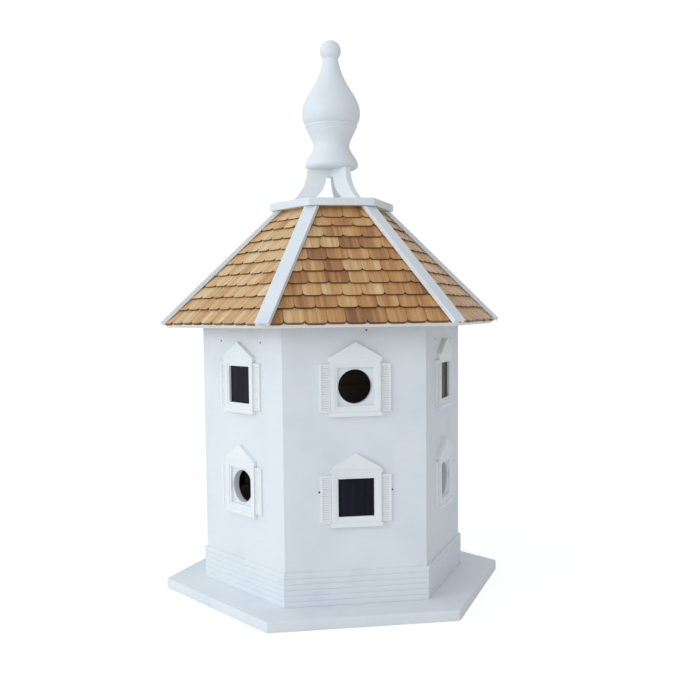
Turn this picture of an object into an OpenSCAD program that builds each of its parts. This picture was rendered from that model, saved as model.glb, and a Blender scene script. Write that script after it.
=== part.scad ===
// Six-sided dovecote on a base plate, millimetres, +Z up.
// Origin: middle of the underside of the base plate. The front wall faces -Y.

/* [Base plate] */
// Width of the base plate across its corners
base_w = 453; // [420:1:560]
// Thickness of the base plate
base_t = 13; // [8:1:24]
// Radius of the base plate's upright corners
base_round = 4; // [1:1:10]

/* [Walls] */
// Width of the house across its corners
house_w = 344; // [300:1:420]
// Height of the walls' outer faces, from the base plate to the roof boards
wall_h = 372.5; // [350:1:450]
// Thickness of the walls
wall_t = 8; // [6:1:14]
// Height of the skirting boards
skirt_h = 41; // [25:1:60]
// Thickness of the skirting boards
skirt_t = 3; // [2:0.5:6]
// Number of reeds along a skirting board
reeds = 6; // [3:1:8]
// Depth of the grooves between the reeds
groove = 1; // [0.5:0.1:1.5]
// Thickness of the floor between the two storeys
floor_t = 6; // [4:1:12]

/* [Windows and entrances] */
// Height of the middle of the lower openings above the base plate
low_z = 128.5; // [110:0.5:150]
// How much higher the lower openings sit on the faces whose entrance is the lower one
low_rise = 4.5; // [0:0.5:10]
// Distance between the middles of the lower and the upper openings
storey = 131.5; // [110:0.5:155]
// Diameter of the round entrances
hole_d = 40.5; // [28:0.5:46]
// Width of the opening inside a window frame
light_w = 43.5; // [34:0.5:50]
// Height of the opening inside a window frame
light_h = 45.5; // [36:0.5:52]
// Width of the frame's upright members
jamb_w = 8.2; // [6:0.1:12]
// Height of the frame's top member
head_h = 6.5; // [6:0.1:12]
// Height of the frame's bottom member
rail_h = 7; // [5:0.1:12]
// Thickness of the frame
frame_t = 4; // [3:0.5:6]
// Width of the step along the frame's inner edges
step_w = 3; // [2:0.5:5]
// Depth of that step
step_drop = 1; // [0.5:0.5:2]
// Height of the band over the frame
band_h = 5; // [3:0.5:8]
// Height of the sill under the frame
sill_h = 5; // [3:0.5:8]
// How far the band and the sill reach past the frame at each end
lip = 1.7; // [0.5:0.1:4]
// How far the pediment reaches past the band at each end
pediment_lip = 0.2; // [0.2:0.1:2]
// Height of the pediment
pediment_h = 18.5; // [12:0.5:26]
// How much thicker than the frame the band is
band_proud = 0.5; // [0.5:0.5:2]
// How much thicker than the frame the sill and the pediment are
sill_proud = 1.5; // [0.5:0.5:4]
// Width of a shutter
shutter_w = 12.6; // [9:0.1:18]
// Thickness of a shutter
shutter_t = 2.5; // [1.5:0.5:4]
// How far the shutters stop below the top of the frame
shutter_drop = 2.3; // [0:0.1:6]
// Clearance between a shutter and the frame
shutter_fit = 0.2; // [0.1:0.1:1]
// Thickness of the dark window panes
pane_t = 3; // [2:0.5:5]
// Clearance round a pane in its wall
pane_fit = 0.4; // [0.2:0.1:1]

/* [Roof] */
// Pitch of the six roof faces in degrees
pitch = 47.5; // [40:0.5:55]
// How far the roof boards overhang the walls, measured on the level
overhang = 39; // [25:1:60]
// Thickness of the roof boards
board_t = 5; // [3:0.5:10]
// Thickness of the laid shingles
shingle_t = 4; // [3:0.5:8]
// How far the shingles run past the roof boards, down the slope
shingle_reach = 0.5; // [0:0.5:6]
// Width of a hip cap
cap_w = 17.5; // [12:0.5:26]
// Thickness of a hip cap at its middle
cap_t = 2; // [1:0.5:6]
// How far the hip caps run past the shingles, measured on the level
cap_reach = 0.5; // [0:0.5:6]
// How far the collar's corners reach past the hip caps' top ends
collar_reach = 7; // [1:0.5:20]
// Width of the collar on top of the roof, across its corners
collar_w = 165; // [140:1:200]
// Thickness of the collar
collar_t = 9.5; // [6:0.5:16]

/* [Cupola] */
// Height of the three cupola brackets
leg_h = 45; // [38:0.5:60]
// Thickness of a bracket
leg_t = 9; // [6:0.5:12]
// Distance from the middle to a bracket's outer edge, at its top
leg_top = 32.5; // [26:0.5:40]
// Distance from the middle to the tip of a bracket's foot
leg_foot = 57; // [50:0.5:68]
// Height of the square end of a bracket's foot
foot_edge = 1; // [0.5:0.5:4]
// Radius of a bracket's hollow outer edge
cove_r = 54; // [46:1:70]
// Distance from the middle to a bracket's inner edge, at its foot
gap_foot = 38.5; // [30:0.5:44]
// The same at the top of the gap between the brackets
gap_top = 7.5; // [5:0.5:12]
// Height of that gap
gap_h = 35; // [24:1:38]
// Radius of a bracket's hollow inner edge
gap_r = 40.5; // [36:0.5:60]

/* [Finial] */
// Radius of the finial's foot
foot_r = 34.6; // [30:0.1:42]
// Height at which the foot is widest
foot_h = 5; // [3:0.5:9]
// How much narrower the foot is where it stands
foot_ease = 3.6; // [1:0.1:5]
// Radius of the waist over the foot
waist_r = 23.4; // [16:0.1:28]
// Height of the waist
waist_h = 29.5; // [22:0.5:40]
// Radius of the shoulder under the bead
shoulder_r = 32.8; // [26:0.1:34]
// Height of the shoulder
shoulder_h = 53.5; // [46:0.5:62]
// Radius of the bead
bead_r = 34; // [33.5:0.1:38]
// Height of the bead
bead_h = 3; // [2:0.5:6]
// Radius of the bulb at its widest
bulb_r = 37.7; // [34:0.1:46]
// Height at which the bulb is widest
bulb_h = 73; // [66:0.5:88]
// Radius of the throat between the bulb and the neck
throat_r = 22.3; // [16:0.1:30]
// Height of the throat
throat_h = 107.3; // [96:0.1:124]
// Radius of the neck under the ball
neck_r = 9.6; // [6:0.1:12]
// Height of the top of the neck
neck_h = 142; // [126:0.1:170]
// Radius of the ball on top
ball_r = 13.6; // [12.5:0.1:20]

/* [Hidden] */
$fn = 64;
FACES = ["front", "front_right", "back_right", "back", "back_left", "front_left"];

// A cutter runs this far past what it cuts
over = 1;
// Play between solids of one node that meet at a mitre
mitre_gap = 0.2;
// Distance from the middle to the flat sides of a hexagon, over its corner radius
flat = cos(30);
house_a = house_w / 2 * flat;
inner_a = house_a - wall_t;
// Farther out than any part of the roof
roof_far = house_w;

// Opening of the wall behind a frame, and how far it reaches behind the frame
pane_lap = 2;
cut_w = light_w + 2 * pane_lap;
cut_h = light_h + 2 * pane_lap;
// The frame's outer edges, from the middle of the opening
frame_side = light_w / 2 + jamb_w;
frame_top = light_h / 2 + head_h;
frame_foot = light_h / 2 + rail_h;
band_side = frame_side + lip;
pediment_side = band_side + pediment_lip;
upper_floor_z = base_t + low_z + storey / 2 - floor_t / 2;

// Roof: the boards' undersides pass through the top of the walls' outer faces
roof_z = base_t + wall_h;
eave_a = house_a + overhang;
// Height of a sloping layer's top over the boards' underside, measured upright
board_up = board_t / cos(pitch);
shingle_up = (board_t + shingle_t) / cos(pitch);
// The ridge of two shingled faces climbs at this angle
hip_pitch = atan(tan(pitch) * flat);
cap_up = shingle_up + cap_t / cos(hip_pitch);
function layer_z(a, up) = roof_z + up - (a - house_a) * tan(pitch);
// Where the hip caps end
cap_a = eave_a + (board_t + shingle_t) * sin(pitch) + cap_reach;
// The collar lies on the hip caps' top ends
collar_z = layer_z((collar_w / 2 - collar_reach) * flat, cap_up);
cupola_z = collar_z + collar_t;
finial_z = cupola_z + leg_h;
ball_z = neck_h + sqrt(ball_r * ball_r - neck_r * neck_r);

module ring_of(k) {
    rotate([0, 0, 60 * k]) children();
}

// A hexagon with flats of apothem a towards -Y and five more
module hexagon(a) {
    circle(r = a / flat, $fn = 6);
}

// The sixth of the plan that belongs to the front face, as far as r
module sixth(r, gap = 0) {
    translate([0, -gap / sin(30)])
        polygon([[0, 0], [r * tan(30), -r], [-r * tan(30), -r]]);
}

// ---------- base, walls, skirting, floor ----------

module base_plate() {
    color("white") linear_extrude(base_t)
        rounded_hexagon(base_w / 2, base_round);
}

// Hexagon with corner radius r, its straight sides and arcs all exact
module rounded_hexagon(r, e) {
    union() {
        difference() {
            hexagon(r * flat);
            for (k = [0:5]) rotate(60 * k) translate([r, 0])
                square([2 * e * (1 / flat - flat), 2 * e], center = true);
        }
        for (k = [0:5]) rotate(60 * k) translate([r - e / flat, 0]) circle(e);
    }
}

module wall_plan() {
    difference() {
        intersection() {
            hexagon(house_a);
            sixth(roof_far);
        }
        hexagon(inner_a);
    }
}

// Everything above the underside of the front roof board
module above_roof(up = 0) {
    translate([0, -house_a, roof_z + up]) rotate([pitch, 0, 0])
        translate([-roof_far, -roof_far, 0]) cube([2 * roof_far, 4 * roof_far, 2 * roof_far]);
}

module entrance_cut(z) {
    translate([0, -house_a + wall_t + over, z]) rotate([90, 0, 0])
        cylinder(d = hole_d, h = wall_t + 2 * over);
}

module window_cut(z) {
    translate([-cut_w / 2, -house_a - over, z - cut_h / 2]) cube([cut_w, wall_t + 2 * over, cut_h]);
}

// Faces alternate: an entrance over a window, then a window over an entrance
function hole_z(k) = base_t + low_z + (k % 2 == 0 ? storey : low_rise);
function light_z(k) = base_t + low_z + (k % 2 == 0 ? 0 : storey);

module wall(k) {
    color("white") ring_of(k) difference() {
        translate([0, 0, base_t]) linear_extrude(2 * wall_h) wall_plan();
        above_roof();
        entrance_cut(hole_z(k));
        window_cut(light_z(k));
    }
}

module skirting() {
    color("white") for (k = [0:5]) ring_of(k) difference() {
        translate([0, 0, base_t]) linear_extrude(skirt_h) intersection() {
            difference() {
                hexagon(house_a + skirt_t);
                hexagon(house_a);
            }
            sixth(roof_far, mitre_gap / 2);
        }
        skirting_grooves();
    }
}

// Vees between the reeds of a skirting board
module skirting_grooves() {
    reed = skirt_h / reeds;
    for (i = [1:reeds - 1]) translate([-roof_far, -house_a - skirt_t, base_t + i * reed])
        rotate([45, 0, 0]) translate([0, -groove / sqrt(2), -groove / sqrt(2)])
            cube([2 * roof_far, groove * sqrt(2), groove * sqrt(2)]);
}

module upper_floor() {
    color("burlywood") translate([0, 0, upper_floor_z]) linear_extrude(floor_t) hexagon(inner_a);
}

// ---------- window units, drawn on the front wall round height z ----------

// A flat piece on the front wall: outline in width and height, thickness t
module on_wall(z, t) {
    translate([0, -house_a, z]) rotate([90, 0, 0]) linear_extrude(t) children();
}

// The frame's outline, its opening widened by ease on every side
module frame_outline(ease) {
    difference() {
        translate([-frame_side, -frame_foot]) square([2 * frame_side, frame_foot + frame_top]);
        square([light_w + 2 * ease, light_h + 2 * ease], center = true);
    }
}

module surround(z) {
    on_wall(z, frame_t - step_drop) frame_outline(0);
    on_wall(z, frame_t) frame_outline(step_w);
    on_wall(z + frame_top, frame_t + band_proud)
        translate([-band_side, 0]) square([2 * band_side, band_h]);
    on_wall(z - frame_foot, frame_t + sill_proud)
        translate([-band_side, -sill_h]) square([2 * band_side, sill_h]);
    on_wall(z + frame_top + band_h, frame_t + sill_proud)
        polygon([[-pediment_side, 0], [pediment_side, 0], [0, pediment_h]]);
}

module windows(k) {
    color("white") ring_of(k) {
        surround(hole_z(k));
        surround(light_z(k));
    }
}

// The shutters stand on the sill's level, beside the frame
module shutters(k) {
    color("white") ring_of(k) for (z = [hole_z(k), light_z(k)]) for (side = [0, 1])
        on_wall(z, shutter_t) mirror([side, 0]) translate([frame_side + shutter_fit, -frame_foot])
            square([shutter_w, frame_foot + frame_top - shutter_drop]);
}

module window_panes() {
    color("black") for (k = [0:5]) ring_of(k)
        translate([-cut_w / 2 + pane_fit, -house_a, light_z(k) - cut_h / 2 + pane_fit])
            cube([cut_w - 2 * pane_fit, pane_t, cut_h - 2 * pane_fit]);
}

// ---------- roof ----------

// One sloping layer over the front wall, between two heights over the boards' underside
module sloping_layer(low, high, reach) {
    intersection() {
        translate([0, 0, collar_z - roof_far]) linear_extrude(roof_far) sixth(roof_far);
        difference() {
            above_roof(low);
            above_roof(high);
            eave_cut(reach);
        }
    }
}

// Everything beyond the eave, squared off across the slope; reach lengthens the layer down the slope
module eave_cut(reach) {
    translate([0, -house_a, roof_z]) rotate([pitch, 0, 0])
        translate([-roof_far, -overhang / cos(pitch) - reach - 2 * roof_far, -roof_far])
            cube([2 * roof_far, 2 * roof_far, 2 * roof_far]);
}

module roof_board(k) {
    color("white") ring_of(k) sloping_layer(0, board_up, 0);
}

module shingle_field(k) {
    color("peru") ring_of(k) sloping_layer(board_up, shingle_up, shingle_reach);
}

// The hip caps lie on the ridges of the shingles, with a vee that fits both faces
module hip_cap(k) {
    // Angle between a face and the flat top, across the ridge
    tilt = acos(cos(pitch) / cos(hip_pitch));
    vee = cap_w / 2 * tan(tilt);
    color("white") intersection() {
        translate([0, 0, collar_z - roof_far]) cylinder(r = 2 * roof_far, h = roof_far);
        rotate([0, 0, 60 * k - 60]) translate([cap_a / flat, 0, layer_z(cap_a, shingle_up)])
            rotate([0, hip_pitch - 90, 0]) rotate([0, 0, -90]) linear_extrude(roof_far)
                polygon([[0, 0], [cap_w / 2, -vee], [cap_w / 2, cap_t], [-cap_w / 2, cap_t],
                    [-cap_w / 2, -vee]]);
    }
}

module collar() {
    color("white") translate([0, 0, collar_z]) linear_extrude(collar_t) hexagon(collar_w / 2 * flat);
}

// ---------- cupola ----------

// Middle of the arc of radius r from a up to b that hollows out what lies inward of it
function hollow(a, b, r) = let (step = b - a, away = sqrt(r * r - step * step / 4))
    (a + b) / 2 + away / norm(step) * [step[1], -step[0]];

// Outline of a bracket from the middle outwards, its foot at height 0
module bracket_outline() {
    difference() {
        square([leg_foot, leg_h]);
        translate(hollow([leg_foot, foot_edge], [leg_top, leg_h], cove_r)) circle(cove_r, $fn = 96);
        difference() {
            translate([-over, -over]) square([gap_foot + over, gap_h + over]);
            translate(hollow([gap_foot, 0], [gap_top, gap_h], gap_r)) circle(gap_r, $fn = 96);
        }
    }
}

// One of three upright brackets that meet in the middle, mitred there, towards every other corner
module cupola_bracket(angle) {
    color("white") translate([0, 0, cupola_z]) rotate([0, 0, angle]) intersection() {
        rotate([90, 0, 0]) translate([0, 0, -leg_t / 2]) linear_extrude(leg_t) bracket_outline();
        linear_extrude(leg_h) polygon([[0, 0], [leg_foot, -leg_foot * tan(60)], [leg_foot, leg_foot * tan(60)]]);
    }
}

module finial() {
    color("white") translate([0, 0, finial_z]) rotate_extrude($fn = 96) finial_outline();
}

// A bow from a to b whose ends lean by the slopes sa and sb, radius over height
function bow(a, sa, b, sb, n = 8) = let (h = b[1] - a[1]) [for (i = [0:n]) let (t = i / n)
    [a[0] * (2 * t ^ 3 - 3 * t ^ 2 + 1) + sa * h * (t ^ 3 - 2 * t ^ 2 + t)
        + b[0] * (3 * t ^ 2 - 2 * t ^ 3) + sb * h * (t ^ 3 - t ^ 2), a[1] + h * t]];

// Half of the finial's section: foot, waist, bead, bulb, neck and ball
module finial_outline() {
    polygon(concat([[0, 0]],
        bow([foot_r - foot_ease, 0], 1.6, [foot_r, foot_h], 0),
        bow([foot_r, foot_h], 0, [waist_r, waist_h], 0),
        bow([waist_r, waist_h], 0, [shoulder_r, shoulder_h], 0.3),
        bow([bead_r, shoulder_h], 0, [bead_r, shoulder_h + bead_h], 0, 1),
        bow([shoulder_r, shoulder_h + bead_h], 0.9, [bulb_r, bulb_h], 0),
        bow([bulb_r, bulb_h], 0, [throat_r, throat_h], -0.6),
        bow([throat_r, throat_h], -0.6, [neck_r, neck_h], -0.15),
        [[neck_r, ball_z], [0, ball_z]]));
    translate([0, ball_z]) intersection() {
        circle(ball_r);
        translate([0, -2 * ball_r]) square([2 * ball_r, 4 * ball_r]);
    }
}

base_plate();
wall(0);  // front_wall
wall(1);  // front_right_wall
wall(2);  // back_right_wall
wall(3);  // back_wall
wall(4);  // back_left_wall
wall(5);  // front_left_wall
skirting();
upper_floor();
windows(0);  // front_windows
windows(1);  // front_right_windows
windows(2);  // back_right_windows
windows(3);  // back_windows
windows(4);  // back_left_windows
windows(5);  // front_left_windows
shutters(0);  // front_shutters
shutters(1);  // front_right_shutters
shutters(2);  // back_right_shutters
shutters(3);  // back_shutters
shutters(4);  // back_left_shutters
shutters(5);  // front_left_shutters
window_panes();
roof_board(0);  // front_roof_board
roof_board(1);  // front_right_roof_board
roof_board(2);  // back_right_roof_board
roof_board(3);  // back_roof_board
roof_board(4);  // back_left_roof_board
roof_board(5);  // front_left_roof_board
shingle_field(0);  // front_shingles
shingle_field(1);  // front_right_shingles
shingle_field(2);  // back_right_shingles
shingle_field(3);  // back_shingles
shingle_field(4);  // back_left_shingles
shingle_field(5);  // front_left_shingles
hip_cap(0);  // front_right_hip_cap
hip_cap(1);  // right_hip_cap
hip_cap(2);  // back_right_hip_cap
hip_cap(3);  // back_left_hip_cap
hip_cap(4);  // left_hip_cap
hip_cap(5);  // front_left_hip_cap
collar();
cupola_bracket(180);  // cupola_bracket_left
cupola_bracket(-60);  // cupola_bracket_front_right
cupola_bracket(60);  // cupola_bracket_back_right
finial();
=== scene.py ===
"""Looks of a six-sided garden dovecote: painted wood, shutters, cedar shingles, turned finial."""
import math
import random

import bmesh
import bpy
from mathutils import Matrix, Vector


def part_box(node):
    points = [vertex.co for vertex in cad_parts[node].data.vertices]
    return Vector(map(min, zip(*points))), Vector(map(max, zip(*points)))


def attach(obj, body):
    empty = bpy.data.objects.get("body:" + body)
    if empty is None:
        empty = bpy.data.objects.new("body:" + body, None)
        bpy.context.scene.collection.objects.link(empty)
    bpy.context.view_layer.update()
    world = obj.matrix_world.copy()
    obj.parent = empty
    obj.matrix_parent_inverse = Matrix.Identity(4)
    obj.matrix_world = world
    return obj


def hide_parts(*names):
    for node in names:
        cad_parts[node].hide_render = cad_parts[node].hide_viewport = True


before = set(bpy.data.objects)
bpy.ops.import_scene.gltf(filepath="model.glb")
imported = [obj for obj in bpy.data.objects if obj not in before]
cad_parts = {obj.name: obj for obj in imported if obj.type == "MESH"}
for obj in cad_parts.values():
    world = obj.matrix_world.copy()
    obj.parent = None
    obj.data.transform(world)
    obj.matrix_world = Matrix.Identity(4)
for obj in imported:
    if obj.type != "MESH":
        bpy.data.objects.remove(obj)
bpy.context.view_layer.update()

MM = 0.001
SIDES = ["front", "front_right", "back_right", "back", "back_left", "front_left"]
HIPS = ["front_right", "right", "back_right", "back_left", "left", "front_left"]
SIDE_TURN = math.radians(60)


# ---------- sizes read from the frame ----------

def corners(cad_node):
    """Places of a CAD node's corners."""
    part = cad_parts[cad_node]
    return [part.matrix_world @ v.co for v in part.data.vertices]


def levels(cad_node, axis):
    """The different values that a CAD node's corners have along an axis, lowest first."""
    return sorted({round(p[axis], 5) for p in corners(cad_node)})


class Sizes:
    """Sizes of the dovecote that the pieces below share, in metres."""
    wall_face = -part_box("front_wall")[0].y
    base_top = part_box("base_plate")[1].z
    skirt_face = -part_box("skirting")[0].y
    skirt_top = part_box("skirting")[1].z
    collar_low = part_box("collar")[0].z
    finial_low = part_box("finial")[0].z
    finial_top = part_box("finial")[1].z


def turned(k):
    """Turns a piece of the front side to side k."""
    return Matrix.Rotation(SIDE_TURN * k, 4, "Z")


# ---------- mesh helpers ----------

WELD = 0.02 * MM
CUT = 0.001 * MM
FLAT_ANGLE = math.radians(1)
CORNER_ANGLE = math.radians(25)


def add_box(bm, low, high, ease=0.0, steps=1):
    """Adds a box between two corners, its edges eased."""
    made = bmesh.ops.create_cube(bm, size=1.0)["verts"]
    low, high = Vector(low), Vector(high)
    bmesh.ops.scale(bm, verts=made, vec=high - low)
    bmesh.ops.translate(bm, verts=made, vec=(low + high) / 2)
    if ease:
        edges = list({e for v in made for e in v.link_edges})
        made = bmesh.ops.bevel(bm, geom=edges, offset=ease, segments=steps, profile=0.5,
                               affect="EDGES", material=-1)["verts"]
    return made


def finished(name, bm, materials, replaces=(), sharp=20.0):
    """Makes the finished piece: an object at the origin that rides on the house."""
    mesh = bpy.data.meshes.new(name)
    bm.to_mesh(mesh)
    bm.free()
    for face in mesh.polygons:
        face.use_smooth = True
    mesh.set_sharp_from_angle(angle=math.radians(sharp))
    for material in materials:
        mesh.materials.append(material)
    piece = bpy.data.objects.new(name, mesh)
    bpy.context.scene.collection.objects.link(piece)
    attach(piece, "root")
    if replaces:
        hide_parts(*replaces)
    return piece


def eased_copy(cad_node, name, ease, materials, steps=2, pick=None, sharp=20.0):
    """A copy of a CAD node with eased edges; pick gives a face's material number."""
    bm = bmesh.new()
    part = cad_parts[cad_node]
    bm.from_mesh(part.data)
    bmesh.ops.transform(bm, matrix=part.matrix_world, verts=bm.verts)
    bmesh.ops.remove_doubles(bm, verts=bm.verts, dist=WELD)
    bmesh.ops.dissolve_limit(bm, angle_limit=FLAT_ANGLE, verts=bm.verts, edges=bm.edges,
                             use_dissolve_boundaries=False)
    edges = [e for e in bm.edges if len(e.link_faces) == 2 and e.calc_face_angle() > CORNER_ANGLE]
    bmesh.ops.bevel(bm, geom=edges, offset=ease, segments=steps, profile=0.5, affect="EDGES",
                    clamp_overlap=True, material=-1)
    if pick:
        for face in bm.faces:
            face.material_index = pick(face)
    return finished(name, bm, materials, [cad_node], sharp)


def cut_off(bm, place, normal, keep_outer=False):
    """Cuts a mesh at a plane, closes the cut and keeps its inner part or its outer one."""
    geom = bm.verts[:] + bm.edges[:] + bm.faces[:]
    cut = bmesh.ops.bisect_plane(bm, geom=geom, dist=CUT, plane_co=place, plane_no=normal,
                                 clear_outer=not keep_outer, clear_inner=keep_outer)["geom_cut"]
    rim = [e for e in cut if isinstance(e, bmesh.types.BMEdge)]
    bmesh.ops.holes_fill(bm, edges=rim, sides=0)


def mitre(bm, inset=0.0, sides=(-1, 1), keep_outer=False):
    """Cuts a piece of the front side at the upright planes of its corners, or inset from them."""
    for side in sides:
        plane = Vector((side * math.cos(SIDE_TURN / 2), math.sin(SIDE_TURN / 2), 0))
        cut_off(bm, plane * -inset, plane, keep_outer)


def take_in(bm, other):
    """Adds another mesh to this one and frees it."""
    part = bpy.data.meshes.new("part")
    other.to_mesh(part)
    other.free()
    bm.from_mesh(part)
    bpy.data.meshes.remove(part)


# ---------- materials ----------

# Sockets of a colour Mix node, whose names repeat for its other data types
MIX_FACTOR, MIX_A, MIX_B, MIX_RESULT = 0, 6, 7, 2


def new_material(name):
    """A new material, its node tree and its shader."""
    made = bpy.data.materials.new(name)
    made.use_nodes = True
    tree = made.node_tree
    return made, tree, tree.nodes["Principled BSDF"]


def node(tree, kind, values=None, **settings):
    """Adds a shader node with its settings and the values of its inputs."""
    made = tree.nodes.new(kind)
    for key, value in settings.items():
        setattr(made, key, value)
    for key, value in (values or {}).items():
        made.inputs[key].default_value = value
    return made


def new_group(name, inputs, outputs):
    """An empty node group with named sockets."""
    group = bpy.data.node_groups.new(name, "ShaderNodeTree")
    for label, kind, value in inputs:
        socket = group.interface.new_socket(label, in_out="INPUT", socket_type=kind)
        if value is not None:
            socket.default_value = value
    for label, kind in outputs:
        group.interface.new_socket(label, in_out="OUTPUT", socket_type=kind)
    return group, group.nodes.new("NodeGroupInput"), group.nodes.new("NodeGroupOutput")


def wood_ripple():
    """Fine lines of wood grain that show through paint or lie in bare wood."""
    group, given, gives = new_group(
        "Wood ripple",
        [("Vector", "NodeSocketVector", None), ("Stretch", "NodeSocketVector", (60, 60, 600)),
         ("Bend", "NodeSocketFloat", 0.3)],
        [("Height", "NodeSocketFloat"), ("Streaks", "NodeSocketFloat")])
    link = group.links.new
    place = node(group, "ShaderNodeVectorMath", operation="MULTIPLY")
    link(given.outputs["Vector"], place.inputs[0])
    link(given.outputs["Stretch"], place.inputs[1])
    fine = node(group, "ShaderNodeTexNoise", {"Scale": 1.0, "Detail": 5.0, "Roughness": 0.6})
    link(place.outputs[0], fine.inputs["Vector"])
    link(given.outputs["Bend"], fine.inputs["Distortion"])
    broad = node(group, "ShaderNodeTexNoise", {"Scale": 0.23, "Detail": 2.0, "Roughness": 0.5})
    link(place.outputs[0], broad.inputs["Vector"])
    both = node(group, "ShaderNodeMath", operation="MULTIPLY_ADD")
    both.inputs[1].default_value = 0.6
    link(fine.outputs[0], both.inputs[0])
    link(broad.outputs[0], both.inputs[2])
    link(both.outputs[0], gives.inputs["Height"])
    streaks = node(group, "ShaderNodeMapRange", {"From Min": 0.35, "From Max": 0.7})
    link(fine.outputs[0], streaks.inputs["Value"])
    link(streaks.outputs[0], gives.inputs["Streaks"])
    return group


RIPPLE = wood_ripple()


def place_group(tree, group, **values):
    """Adds a node group with the values of its inputs."""
    made = tree.nodes.new("ShaderNodeGroup")
    made.node_tree = group
    for key, value in values.items():
        made.inputs[key].default_value = value
    return made


def ramp(tree, stops):
    """A colour ramp from (place, colour) pairs."""
    made = tree.nodes.new("ShaderNodeValToRGB")
    band = made.color_ramp.elements
    while len(band) < len(stops):
        band.new(0.5)
    for element, (place, colour) in zip(band, stops):
        element.position = place
        element.color = (*colour, 1)
    return made


COOL_WHITE = [(0.3, (0.70, 0.745, 0.80)), (0.5, (0.745, 0.79, 0.83)), (0.7, (0.77, 0.80, 0.83))]
# a brighter copy of the white paint: painted light, so frames, shutters and brackets read lighter in
# their shade
LIGHTENED_WHITE = [(0.3, (0.79, 0.83, 0.85)), (0.5, (0.82, 0.86, 0.87)), (0.7, (0.84, 0.87, 0.87))]
# a warm copy of the white: painted warm bounce light from the shingles on the eaves
WARM_BOUNCE_WHITE = [(0.3, (0.80, 0.72, 0.64)), (0.5, (0.84, 0.77, 0.69)), (0.7, (0.86, 0.80, 0.73))]
GRAIN_GREY = (0.60, 0.64, 0.68, 1)
GRAIN_SHARE = 0.10


def painted_wood(name, stretch, ripple, tints):
    """White satin paint over wood whose grain still shows as a slight ripple."""
    made, tree, shader = new_material(name)
    link = tree.links.new
    where = tree.nodes.new("ShaderNodeTexCoord")
    grain = place_group(tree, RIPPLE, Stretch=stretch, Bend=0.4)
    link(where.outputs["Object"], grain.inputs["Vector"])
    clouds = node(tree, "ShaderNodeTexNoise", {"Scale": 14.0, "Detail": 3.0, "Roughness": 0.55})
    link(where.outputs["Object"], clouds.inputs["Vector"])
    tint = ramp(tree, tints)
    link(clouds.outputs[0], tint.inputs["Fac"])
    shade = node(tree, "ShaderNodeMix", data_type="RGBA")
    shade.inputs[MIX_B].default_value = GRAIN_GREY
    dim = node(tree, "ShaderNodeMath", operation="MULTIPLY")
    dim.inputs[1].default_value = GRAIN_SHARE
    link(grain.outputs["Streaks"], dim.inputs[0])
    link(dim.outputs[0], shade.inputs[MIX_FACTOR])
    link(tint.outputs["Color"], shade.inputs[MIX_A])
    link(shade.outputs[MIX_RESULT], shader.inputs["Base Color"])
    gloss = node(tree, "ShaderNodeMapRange", {"To Min": 0.42, "To Max": 0.58})
    link(clouds.outputs[0], gloss.inputs["Value"])
    link(gloss.outputs[0], shader.inputs["Roughness"])
    bump = node(tree, "ShaderNodeBump", {"Strength": ripple, "Distance": 0.4 * MM})
    link(grain.outputs["Height"], bump.inputs["Height"])
    link(bump.outputs[0], shader.inputs["Normal"])
    return made


PLYWOOD = [(0.25, (0.34, 0.27, 0.20)), (0.55, (0.48, 0.40, 0.31)), (0.8, (0.56, 0.48, 0.39))]


def bare_wood(name):
    """Unpainted plywood with long brown grain."""
    made, tree, shader = new_material(name)
    link = tree.links.new
    where = tree.nodes.new("ShaderNodeTexCoord")
    grain = place_group(tree, RIPPLE, Stretch=(30, 30, 700), Bend=0.8)
    link(where.outputs["Object"], grain.inputs["Vector"])
    colour = ramp(tree, PLYWOOD)
    link(grain.outputs["Height"], colour.inputs["Fac"])
    link(colour.outputs["Color"], shader.inputs["Base Color"])
    shader.inputs["Roughness"].default_value = 0.8
    bump = node(tree, "ShaderNodeBump", {"Strength": 0.5, "Distance": 0.3 * MM})
    link(grain.outputs["Height"], bump.inputs["Height"])
    link(bump.outputs[0], shader.inputs["Normal"])
    return made


# From the palest shingle to the darkest, the darkening along fine lines, and the end grain, dark
# enough to stand in as painted shade under the butts
STRAW_TO_BROWN = [(0.0, (0.78, 0.64, 0.43)), (0.2, (0.74, 0.55, 0.31)), (0.4, (0.65, 0.41, 0.18)),
                  (0.6, (0.55, 0.295, 0.11)), (0.8, (0.42, 0.20, 0.070)), (1.0, (0.25, 0.105, 0.04))]
FINE_LINES = [(0.0, (1.0, 1.0, 1.0)), (0.6, (0.90, 0.84, 0.78)), (1.0, (0.60, 0.46, 0.36))]
END_GRAIN_AND_BUTT_SHADE = (0.10, 0.045, 0.022, 1)


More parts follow.
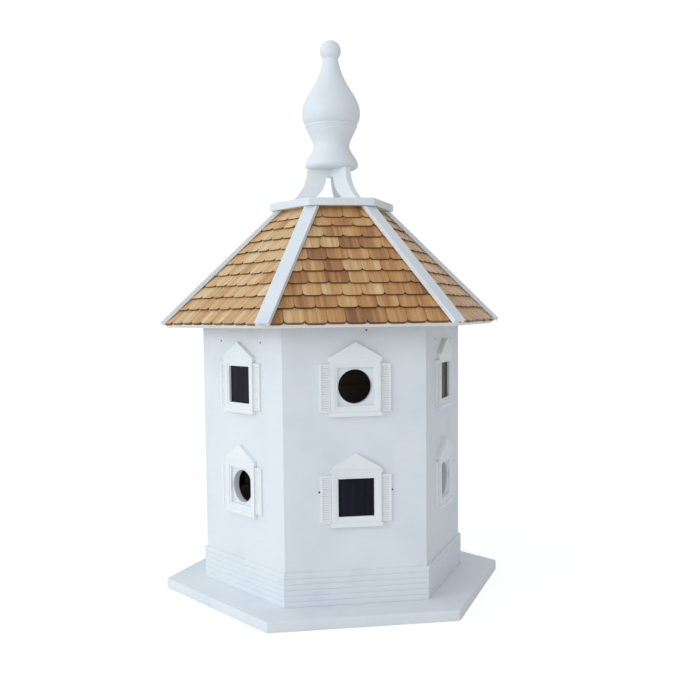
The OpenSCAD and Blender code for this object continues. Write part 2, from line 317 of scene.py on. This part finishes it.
def cedar():
    """Split cedar: a colour for each shingle, darker growth lines up the slope, dark end grain that is
    also painted shade under the butts.
    """
    made, tree, shader = new_material("cedar_shingle")
    link = tree.links.new
    flat = tree.nodes.new("ShaderNodeUVMap")
    flat.uv_map = "lay"
    tone = node(tree, "ShaderNodeAttribute", attribute_name="tone")
    parts = tree.nodes.new("ShaderNodeSeparateColor")
    link(tone.outputs["Color"], parts.inputs["Color"])
    broad = place_group(tree, RIPPLE, Stretch=(230, 6, 1), Bend=0.7)
    link(flat.outputs[0], broad.inputs["Vector"])
    fine = place_group(tree, RIPPLE, Stretch=(900, 22, 1), Bend=0.5)
    link(flat.outputs[0], fine.inputs["Vector"])
    # a shingle's own tone, pushed darker or lighter along its growth lines
    sway = node(tree, "ShaderNodeMapRange",
                {"From Min": 0.25, "From Max": 0.95, "To Min": -0.5, "To Max": 0.45})
    link(broad.outputs["Height"], sway.inputs["Value"])
    depth = node(tree, "ShaderNodeMath", operation="ADD", use_clamp=True)
    link(parts.outputs["Red"], depth.inputs[0])
    link(sway.outputs[0], depth.inputs[1])
    body = ramp(tree, STRAW_TO_BROWN)
    link(depth.outputs[0], body.inputs["Fac"])
    hair = node(tree, "ShaderNodeMix", data_type="RGBA", blend_type="MULTIPLY")
    hair.inputs[MIX_FACTOR].default_value = 0.7
    thin = ramp(tree, FINE_LINES)
    link(body.outputs["Color"], hair.inputs[MIX_A])
    link(fine.outputs["Streaks"], thin.inputs["Fac"])
    link(thin.outputs["Color"], hair.inputs[MIX_B])
    # the shingles' edges, marked by the blue part of the tone, are darker end grain and painted shade
    # under the butts
    rim = node(tree, "ShaderNodeMix", data_type="RGBA")
    link(parts.outputs["Blue"], rim.inputs[MIX_FACTOR])
    link(hair.outputs[MIX_RESULT], rim.inputs[MIX_A])
    rim.inputs[MIX_B].default_value = END_GRAIN_AND_BUTT_SHADE
    link(rim.outputs[MIX_RESULT], shader.inputs["Base Color"])
    shader.inputs["Roughness"].default_value = 0.6
    shader.inputs["Specular IOR Level"].default_value = 0.4
    shader.inputs["Sheen Weight"].default_value = 0.2
    shader.inputs["Sheen Roughness"].default_value = 0.4
    bump = node(tree, "ShaderNodeBump", {"Strength": 0.7, "Distance": 0.35 * MM})
    link(fine.outputs["Height"], bump.inputs["Height"])
    link(bump.outputs[0], shader.inputs["Normal"])
    return made


PANE_TONES = [(0.3, (0.004, 0.004, 0.009)), (0.65, (0.006, 0.007, 0.013)), (0.9, (0.012, 0.014, 0.022))]


def dark_pane():
    """Dark glossy pane with faint upright streaks of dust."""
    made, tree, shader = new_material("dark_pane")
    link = tree.links.new
    where = tree.nodes.new("ShaderNodeTexCoord")
    streak = place_group(tree, RIPPLE, Stretch=(150, 150, 7), Bend=0.4)
    link(where.outputs["Object"], streak.inputs["Vector"])
    colour = ramp(tree, PANE_TONES)
    link(streak.outputs["Height"], colour.inputs["Fac"])
    link(colour.outputs["Color"], shader.inputs["Base Color"])
    rough = node(tree, "ShaderNodeMapRange", {"To Min": 0.2, "To Max": 0.38})
    link(streak.outputs["Streaks"], rough.inputs["Value"])
    link(rough.outputs[0], shader.inputs["Roughness"])
    shader.inputs["Specular IOR Level"].default_value = 0.1
    return made


STEEL_TO_RUST = [(0.4, (0.012, 0.012, 0.015)), (0.7, (0.05, 0.03, 0.025))]


def nail_metal():
    """Dull dark steel with a little rust."""
    made, tree, shader = new_material("nail_steel")
    link = tree.links.new
    where = tree.nodes.new("ShaderNodeTexCoord")
    spots = node(tree, "ShaderNodeTexNoise", {"Scale": 900.0, "Detail": 2.0})
    link(where.outputs["Object"], spots.inputs["Vector"])
    colour = ramp(tree, STEEL_TO_RUST)
    link(spots.outputs[0], colour.inputs["Fac"])
    link(colour.outputs["Color"], shader.inputs["Base Color"])
    shader.inputs["Roughness"].default_value = 0.7
    return made


WALL_PAINT = painted_wood("wall_paint", (40, 40, 420), 0.35, COOL_WHITE)
TRIM_PAINT = painted_wood("trim_paint", (160, 160, 260), 0.25, COOL_WHITE)
# painted light: the frames, louvres and brackets get the brighter white so their shaded sides read
# lighter
LIGHTENED_FRAME_PAINT = painted_wood("lightened_frame_paint", (160, 160, 260), 0.2, LIGHTENED_WHITE)
# the eave boards' warm white is painted warm bounce light from the cedar above them
WARM_BOUNCE_EAVE_PAINT = painted_wood("eave_paint_warm_bounce", (260, 160, 160), 0.2, WARM_BOUNCE_WHITE)
BARE = bare_wood("bare_plywood")
CEDAR = cedar()
PANE = dark_pane()
NAIL = nail_metal()


# ---------- base, walls and boards with eased edges ----------

def outside_or_in(side):
    """Walls are painted outside and bare inside."""
    out = turned(side) @ Vector((0, -1, 0))

    def pick(face):
        return 1 if face.normal.dot(out) < -0.5 else 0
    return pick


def boards():
    eased_copy("base_plate", "base", 1.0 * MM, [TRIM_PAINT], steps=3, sharp=32)
    for k, side in enumerate(SIDES):
        eased_copy(side + "_wall", side + "_wall_board", 0.3 * MM, [WALL_PAINT, BARE],
                   pick=outside_or_in(k))
        eased_copy(side + "_windows", side + "_frames", 0.35 * MM, [LIGHTENED_FRAME_PAINT])
        eased_copy(side + "_roof_board", side + "_eave_board", 0.4 * MM, [WARM_BOUNCE_EAVE_PAINT])
    for hip in HIPS:
        eased_copy(hip + "_hip_cap", hip + "_ridge_cap", 0.5 * MM, [TRIM_PAINT])
    eased_copy("collar", "roof_collar", 0.6 * MM, [TRIM_PAINT])
    for corner in ("left", "front_right", "back_right"):
        eased_copy("cupola_bracket_" + corner, corner + "_bracket", 0.4 * MM, [LIGHTENED_FRAME_PAINT])
    eased_copy("upper_floor", "inner_floor", 0.3 * MM, [BARE])


# ---------- reeded skirting ----------

REEDS = 6
REED_ROUND = 0.65 * MM


def skirting():
    """Six boards of round reeds, mitred at the corners."""
    bm = bmesh.new()
    height = (Sizes.skirt_top - Sizes.base_top) / REEDS
    half = Sizes.skirt_face
    for k in range(6):
        side = bmesh.new()
        for i in range(REEDS):
            z = Sizes.base_top + i * height
            made = bmesh.ops.create_cube(side, size=1.0)["verts"]
            bmesh.ops.scale(side, verts=made, vec=(2 * half, Sizes.skirt_face - Sizes.wall_face, height))
            bmesh.ops.translate(side, verts=made,
                                vec=(0, -(Sizes.skirt_face + Sizes.wall_face) / 2, z + height / 2))
            outer = [e for e in {e for v in made for e in v.link_edges}
                     if all(v.co.y < -Sizes.skirt_face + 0.01 * MM for v in e.verts)
                     and abs(e.verts[0].co.x - e.verts[1].co.x) > half]
            bmesh.ops.bevel(side, geom=outer, offset=REED_ROUND, segments=4, profile=0.5,
                            affect="EDGES", material=-1)
        mitre(side)
        bmesh.ops.transform(side, matrix=turned(k), verts=side.verts)
        take_in(bm, side)
    finished("reeded_skirting", bm, [TRIM_PAINT], ["skirting"])


# ---------- louvred shutters ----------

STILE = 2.6 * MM
INNER_STILE = 0.8 * MM
RAIL = 2.2 * MM
SLAT_PITCH = 2.75 * MM
SLAT_WIDTH = 2.5 * MM
SLAT_THICK = 0.8 * MM
SLAT_TILT = math.radians(62)
SLAT_SINK = 0.15 * MM
SHUTTER_BACK = 0.7 * MM
SHUTTER_EASE = 0.2 * MM


def shutter(bm, low, high, outer_low):
    """One shutter between two corners of the front side: stiles, rails, back and tilted slats."""
    back = high[1] - SHUTTER_BACK
    left, right = (STILE, INNER_STILE) if outer_low else (INNER_STILE, STILE)
    inner_low, inner_high = low[0] + left, high[0] - right
    add_box(bm, (low[0], back, low[2]), (high[0], high[1], high[2]))
    for x0, x1 in ((low[0], inner_low), (inner_high, high[0])):
        add_box(bm, (x0, low[1], low[2]), (x1, back, high[2]), SHUTTER_EASE)
    for z0, z1 in ((low[2], low[2] + RAIL), (high[2] - RAIL, high[2])):
        add_box(bm, (inner_low, low[1], z0), (inner_high, back, z1), SHUTTER_EASE)
    room = high[2] - low[2] - 2 * RAIL
    count = round(room / SLAT_PITCH)
    for i in range(count):
        z = low[2] + RAIL + (i + 0.5) * room / count
        made = add_box(bm, (inner_low, -SLAT_WIDTH / 2, -SLAT_THICK / 2),
                       (inner_high, SLAT_WIDTH / 2, SLAT_THICK / 2))
        bmesh.ops.rotate(bm, verts=made, cent=(0, 0, 0), matrix=Matrix.Rotation(SLAT_TILT, 3, "X"))
        bmesh.ops.translate(bm, verts=made, vec=(0, (low[1] + back) / 2 + SLAT_SINK, z))


def shutters():
    widths = levels("front_shutters", 0)
    depths = levels("front_shutters", 1)
    for k, side in enumerate(SIDES):
        heights = levels(side + "_shutters", 2)
        bm = bmesh.new()
        for z0, z1 in ((heights[0], heights[1]), (heights[2], heights[3])):
            for x0, x1 in ((widths[0], widths[1]), (widths[2], widths[3])):
                shutter(bm, (x0, depths[0], z0), (x1, depths[-1], z1), x0 < 0)
        bmesh.ops.transform(bm, matrix=turned(k), verts=bm.verts)
        finished(side + "_louvres", bm, [LIGHTENED_FRAME_PAINT], [side + "_shutters"])


# ---------- cedar shingles ----------

COURSES = 10
FIRST_COURSE = 23.0 * MM
COURSE = 19.5 * MM
LAST_COURSE = 15.5 * MM
OVERLAP = 8.0 * MM
COURSE_SHIFT = 3.0 * MM
SHINGLE_WIDTH = 24.2 * MM
WIDTH_SPREAD = 2.5 * MM
DROP = 1.1 * MM
CLIP = 4.4 * MM
JOINT = 0.3 * MM
# How far a white strip reaches from each hip line, under the cap
BATTEN = 5.0 * MM
BATTEN_GAP = 0.1 * MM
BATTEN_TOP = 0.96
SEED = 12
# Heights of a shingle's top at its butt and at its hidden end, and of its foot at the butt of all
# but the first course, as shares of the shingles' depth
BUTT_TOP, HIDDEN_TOP, BUTT_FOOT = 0.98, 0.2, 0.34
HIDDEN_FOOT = 0.05 * MM
# The palest tone, how far the others spread from it, and how deep they go on the front face and on
# its neighbours, whose shallower tones are painted sheen: paler where the light grazes them
PALEST = 0.12
TONE_SPREAD = 0.62
SHEEN_PAINTED_DEPTHS = (0.95, 0.4)


def shingle(bm, layers, x0, x1, low, high, foot, top, tone):
    """A tapered shingle on a flat bed: low is its butt end and high its hidden end up the slope."""
    uv, colour = layers
    verts = add_box(bm, (x0, low, 0), (x1, high, 1))
    for v in verts:
        end = 0 if v.co.y < (low + high) / 2 else 1
        v.co.z = top[end] if v.co.z > 0.5 else foot[end]
    clipped = [e for e in {e for v in verts for e in v.link_edges}
               if all(v.co.y < low + 0.01 * MM for v in e.verts)
               and abs(e.verts[0].co.x - e.verts[1].co.x) < 0.01 * MM]
    verts = bmesh.ops.bevel(bm, geom=clipped, offset=CLIP, segments=3, profile=0.5, affect="EDGES",
                            material=-1)["verts"] + [v for v in verts if v.is_valid]
    for face in {f for v in verts for f in v.link_faces}:
        face.normal_update()
        # edge faces take the end-grain colour, which also paints the shade under the butts
        edge = 1.0 if face.normal.z < 0.5 else 0.0
        for loop in face.loops:
            loop[uv].uv = (loop.vert.co.x + tone[1], loop.vert.co.y + loop.vert.co.z + tone[2])
            loop[colour] = (tone[0], tone[1] % 1, edge * tone[3], 1)


def below_collar(bm):
    """Cuts off what reaches past the underside of the collar."""
    cut_off(bm, (0, 0, Sizes.collar_low - 0.01 * MM), (0, 0, 1))


def shingle_bed():
    """Where the front side's shingles lie: a matrix from flat to laid, length, half width, depth."""
    points = corners("front_shingles")
    start = min(points, key=lambda p: (round(p.z, 5), p.x))
    rim = min(points, key=lambda p: (round(p.y, 5), p.x))
    out = Vector((0, rim.y - start.y, rim.z - start.z))
    depth = out.length
    out.normalize()
    up = Vector((0, out.z, -out.y))
    lay = Matrix(((1, 0, 0, 0), (0, up.y, out.y, start.y), (0, up.z, out.z, start.z), (0, 0, 0, 1)))
    return lay, (Sizes.collar_low - start.z) / up.z, abs(start.x), depth


def course_low(row):
    """How far up the slope a course starts; the last one shows less."""
    if row == 0:
        return 0.0
    if row < COURSES - 1:
        return FIRST_COURSE + (row - 1) * COURSE
    return FIRST_COURSE + (COURSES - 3) * COURSE + LAST_COURSE


def shingle_field(k, side, chance):
    """The courses of shingles on one roof face, with their tones as an attribute."""
    lay, length, half, depth = shingle_bed()
    bm = bmesh.new()
    layers = (bm.loops.layers.uv.new("lay"), bm.loops.layers.float_color.new("tone"))
    top = (depth * BUTT_TOP, depth * HIDDEN_TOP)
    for row in range(COURSES):
        low = course_low(row)
        high = min(low + COURSE + OVERLAP, length)
        foot = (0.0, 0.0) if row == 0 else (depth * BUTT_FOOT, HIDDEN_FOOT)
        shift = (row % 2) * SHINGLE_WIDTH / 2 + chance.uniform(-COURSE_SHIFT, COURSE_SHIFT)
        edge = -half - SHINGLE_WIDTH + shift
        while edge < half:
            width = SHINGLE_WIDTH + chance.uniform(-WIDTH_SPREAD, WIDTH_SPREAD)
            drop = chance.uniform(0, DROP)
            # faces 1, 3 and 5 get paler tones: painted sheen for the faces seen at a slant
            shade = (PALEST + TONE_SPREAD * chance.betavariate(1.6, 2.0)) * SHEEN_PAINTED_DEPTHS[k % 2]
            tone = (shade, chance.uniform(0, 9), chance.uniform(0, 9), chance.uniform(0.8, 1))
            shingle(bm, layers, edge + JOINT / 2, edge + width - JOINT / 2, low + drop, high, foot,
                    top, tone)
            edge += width
    bmesh.ops.transform(bm, verts=bm.verts, matrix=lay)
    mitre(bm, BATTEN)
    below_collar(bm)
    bmesh.ops.transform(bm, matrix=turned(k), verts=bm.verts)
    finished(side + "_cedar", bm, [CEDAR], [side + "_shingles"])


def battens(k, side):
    """White strips along both hips of one roof face, under the caps."""
    lay, length, half, depth = shingle_bed()
    bm = bmesh.new()
    for end in (-1, 1):
        strip = bmesh.new()
        add_box(strip, (-half, 0, 0), (half, length, depth * BATTEN_TOP))
        bmesh.ops.transform(strip, verts=strip.verts, matrix=lay)
        mitre(strip)
        mitre(strip, BATTEN + BATTEN_GAP, (end,), keep_outer=True)
        below_collar(strip)
        take_in(bm, strip)
    bmesh.ops.transform(bm, matrix=turned(k), verts=bm.verts)
    finished(side + "_battens", bm, [TRIM_PAINT])


def shingles():
    chance = random.Random(SEED)
    for k, side in enumerate(SIDES):
        shingle_field(k, side, chance)
        battens(k, side)


# ---------- turned finial ----------

# Steps round the finial and over its ball
FINIAL_TURN = 96
BALL_STEPS = 20
# Its radii and stations of (radius, height) above its foot, in mm
BALL_R = 13.6
NECK_R = 9.6
FOOT = (31, 0)
FOOT_RIM = (34.6, 5)
WAIST = (23.4, 29.5)
SHOULDER = (32.8, 53.5)
BEAD = ((33.8, 53.9), (33.8, 56.1))
BULB_FOOT = (32.8, 56.5)
BULB = (37.7, 73)
BULB_TOP = (22.3, 107.3)


def bow(a, slope_a, b, slope_b, steps=14):
    """Points of a bow between two (radius, height) stations that leave them at the given slopes."""
    height = b[1] - a[1]
    made = []
    for i in range(steps + 1):
        t = i / steps
        made.append((a[0] * (2 * t ** 3 - 3 * t ** 2 + 1) + slope_a * height * (t ** 3 - 2 * t ** 2 + t)
                     + b[0] * (3 * t ** 2 - 2 * t ** 3) + slope_b * height * (t ** 3 - t ** 2),
                     a[1] + height * t))
    return made


def finial():
    """Foot, waist, bead, bulb, neck and ball, spun in one piece."""
    total = (Sizes.finial_top - Sizes.finial_low) / MM
    centre = total - BALL_R
    drop = math.sqrt(BALL_R * BALL_R - NECK_R * NECK_R)
    start = math.acos(-drop / BALL_R)
    line = [(0, 0)]
    line += bow(FOOT, 1.6, FOOT_RIM, 0, 8)
    line += bow(FOOT_RIM, 0, WAIST, 0)[1:]
    line += bow(WAIST, 0, SHOULDER, 0.3)[1:]
    line += bow(BEAD[0], 0, BEAD[1], 0, 2)
    line += bow(BULB_FOOT, 0.9, BULB, 0)
    line += bow(BULB, 0, BULB_TOP, -0.6)[1:]
    line += bow(BULB_TOP, -0.6, (NECK_R, centre - drop), -0.15)[1:]
    for i in range(1, BALL_STEPS):
        a = start * (1 - i / BALL_STEPS)
        line.append((BALL_R * math.sin(a), centre + BALL_R * math.cos(a)))
    line.append((0, total))
    bm = bmesh.new()
    verts = [bm.verts.new((r * MM, 0, Sizes.finial_low + h * MM)) for r, h in line]
    edges = [bm.edges.new(pair) for pair in zip(verts, verts[1:])]
    bmesh.ops.spin(bm, geom=verts + edges, cent=(0, 0, 0), axis=(0, 0, 1), dvec=(0, 0, 0),
                   angle=math.tau, steps=FINIAL_TURN, use_merge=True, use_duplicate=False)
    bmesh.ops.remove_doubles(bm, verts=bm.verts, dist=0.001 * MM)
    bmesh.ops.recalc_face_normals(bm, faces=bm.faces)
    finished("turned_finial", bm, [TRIM_PAINT], ["finial"], sharp=35)


# ---------- nail heads ----------

NAIL_R = 1.35 * MM
NAIL_TAPER = 0.8
NAIL_DEPTH = 0.2 * MM
# Across and up on a front-like and on a side-like wall, from the middle of the base's underside
NAILS = {0: [(14, 339), (-44, 149), (44, 149)], 1: [(-43, 326), (43, 325), (-35, 126), (-28, 245)]}


def nail_heads():
    """Small sunk nail heads in the walls."""
    bm = bmesh.new()
    for k in range(6):
        for across, up in NAILS[k % 2]:
            place = turned(k) @ Matrix.Translation((across * MM, -Sizes.wall_face, up * MM)) \
                @ Matrix.Rotation(math.radians(90), 4, "X")
            made = bmesh.ops.create_cone(bm, cap_ends=True, segments=12, radius1=NAIL_R,
                                         radius2=NAIL_R * NAIL_TAPER, depth=NAIL_DEPTH)["verts"]
            bmesh.ops.transform(bm, matrix=place, verts=made)
    finished("nail_heads", bm, [NAIL])


# ---------- stage, light and camera ----------

FLOOR_RADIUS = 30.0
FLOOR_GREY = (0.74, 0.74, 0.74, 1)
# The floor's own light, what the camera sees of it instead, and the share of that
FLOOR_GLOW = 0.13
SEEN_GLOW = 1.12
SEEN_SHARE = 0.75


def stage():
    """A pale floor that fades into a white background."""
    bm = bmesh.new()
    bmesh.ops.create_circle(bm, cap_ends=True, segments=64, radius=FLOOR_RADIUS)
    mesh = bpy.data.meshes.new("floor")
    bm.to_mesh(mesh)
    bm.free()
    made, tree, shader = new_material("pale_floor")
    shader.inputs["Base Color"].default_value = FLOOR_GREY
    shader.inputs["Roughness"].default_value = 0.9
    shader.inputs["Specular IOR Level"].default_value = 0.0
    shader.inputs["Emission Color"].default_value = (1.0, 0.99, 0.97, 1)
    shader.inputs["Emission Strength"].default_value = FLOOR_GLOW
    glow = node(tree, "ShaderNodeEmission", {"Color": (1, 1, 1, 1), "Strength": SEEN_GLOW})
    which = tree.nodes.new("ShaderNodeLightPath")
    share = node(tree, "ShaderNodeMath", operation="MULTIPLY")
    share.inputs[1].default_value = SEEN_SHARE
    mixed = tree.nodes.new("ShaderNodeMixShader")
    tree.links.new(which.outputs["Is Camera Ray"], share.inputs[0])
    tree.links.new(share.outputs[0], mixed.inputs[0])
    tree.links.new(shader.outputs[0], mixed.inputs[1])
    tree.links.new(glow.outputs[0], mixed.inputs[2])
    tree.links.new(mixed.outputs[0], tree.nodes["Material Output"].inputs["Surface"])
    mesh.materials.append(made)
    floor = bpy.data.objects.new("floor", mesh)
    bpy.context.scene.collection.objects.link(floor)


MIDDLE = Vector((0, 0, 0.33))


def soft_light(name, azimuth, height, distance, size, power, colour):
    """A large square light aimed at the middle of the house; azimuth is measured from the front."""
    data = bpy.data.lights.new(name, "AREA")
    data.shape, data.size, data.energy, data.color = "SQUARE", size, power, colour
    light = bpy.data.objects.new(name, data)
    a = math.radians(azimuth)
    light.location = (math.sin(a) * distance, -math.cos(a) * distance, height)
    aim = MIDDLE - light.location
    light.rotation_euler = aim.to_track_quat("-Z", "Y").to_euler()
    bpy.context.scene.collection.objects.link(light)


# Where the tent is brightest, its middle strength and how far that rises and falls
SKY_BRIGHT = (-0.90, -0.20, 0.10)
SKY_LEVEL = 0.80
SKY_SLOPE = 0.44
SKY_HUES = [(0.0, (0.96, 0.93, 0.96)), (1.0, (0.88, 0.96, 1.0))]


def lighting():
    """A white tent, brighter on the left, and one soft key light."""
    world = bpy.data.worlds.new("studio")
    bpy.context.scene.world = world
    world.use_nodes = True
    tree = world.node_tree
    link = tree.links.new
    back = tree.nodes["Background"]
    where = tree.nodes.new("ShaderNodeTexCoord")
    lean = node(tree, "ShaderNodeVectorMath", operation="DOT_PRODUCT")
    lean.inputs[1].default_value = SKY_BRIGHT
    link(where.outputs["Generated"], lean.inputs[0])
    level = node(tree, "ShaderNodeMath", operation="MULTIPLY_ADD")
    level.inputs[1].default_value = SKY_SLOPE
    level.inputs[2].default_value = SKY_LEVEL
    link(lean.outputs["Value"], level.inputs[0])
    link(level.outputs[0], back.inputs["Strength"])
    hue = ramp(tree, SKY_HUES)
    from_right = node(tree, "ShaderNodeMapRange", {"From Min": -1.0, "From Max": 1.0})
    link(lean.outputs["Value"], from_right.inputs["Value"])
    link(from_right.outputs[0], hue.inputs["Fac"])
    link(hue.outputs["Color"], back.inputs["Color"])
    seen = node(tree, "ShaderNodeBackground", {"Color": (1, 1, 1, 1), "Strength": 1.0})
    which = tree.nodes.new("ShaderNodeLightPath")
    mixed = tree.nodes.new("ShaderNodeMixShader")
    link(which.outputs["Is Camera Ray"], mixed.inputs[0])
    link(back.outputs[0], mixed.inputs[1])
    link(seen.outputs[0], mixed.inputs[2])
    link(mixed.outputs[0], tree.nodes["World Output"].inputs["Surface"])
    soft_light("key", azimuth=-60, height=0.95, distance=2.4, size=0.9, power=10, colour=(0.98, 1.0, 1.0))
    bpy.context.scene.view_settings.view_transform = "Standard"


# Angles in degrees, the rest in metres, the lens in mm for a sensor of 36 mm
SENSOR = 36.0
CAMERA_TURN = 9.557
CAMERA_DISTANCE = 1.2019
CAMERA_HEIGHT = 0.3586
CAMERA_YAW = 0.952
CAMERA_PITCH = -4.334
CAMERA_ROLL = -0.696
LENS = 46.34
SHIFT = (0.04425, 0.04593)


def camera():
    """A camera to the left of the front, at the height of the upper storey."""
    turn = math.radians(CAMERA_TURN)
    heading = math.radians(CAMERA_TURN - CAMERA_YAW)
    pitch = math.radians(CAMERA_PITCH)
    roll = math.radians(CAMERA_ROLL)
    level = math.cos(pitch)
    ahead = Vector((math.sin(heading) * level, math.cos(heading) * level, math.sin(pitch)))
    right = ahead.cross(Vector((0, 0, 1))).normalized()
    up = right.cross(ahead)
    across = right * math.cos(roll) + up * math.sin(roll)
    up = up * math.cos(roll) - right * math.sin(roll)
    data = bpy.data.cameras.new("camera")
    data.lens = LENS
    data.sensor_width = SENSOR
    data.shift_x, data.shift_y = SHIFT
    seen_from = bpy.data.objects.new("camera", data)
    place = Vector((-math.sin(turn) * CAMERA_DISTANCE, -math.cos(turn) * CAMERA_DISTANCE,
                    CAMERA_HEIGHT))
    facing = Matrix((across, up, -ahead)).transposed().to_4x4()
    seen_from.matrix_world = Matrix.Translation(place) @ facing
    bpy.context.scene.collection.objects.link(seen_from)
    bpy.context.scene.camera = seen_from


def cad_finishes():
    """CAD nodes that stay as they are and only get their finish."""
    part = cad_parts["window_panes"]
    for spot in part.material_slots:
        spot.material = PANE
    if not part.material_slots:
        part.data.materials.append(PANE)


camera()
boards()
skirting()
shutters()
shingles()
finial()
nail_heads()
cad_finishes()
stage()
lighting()
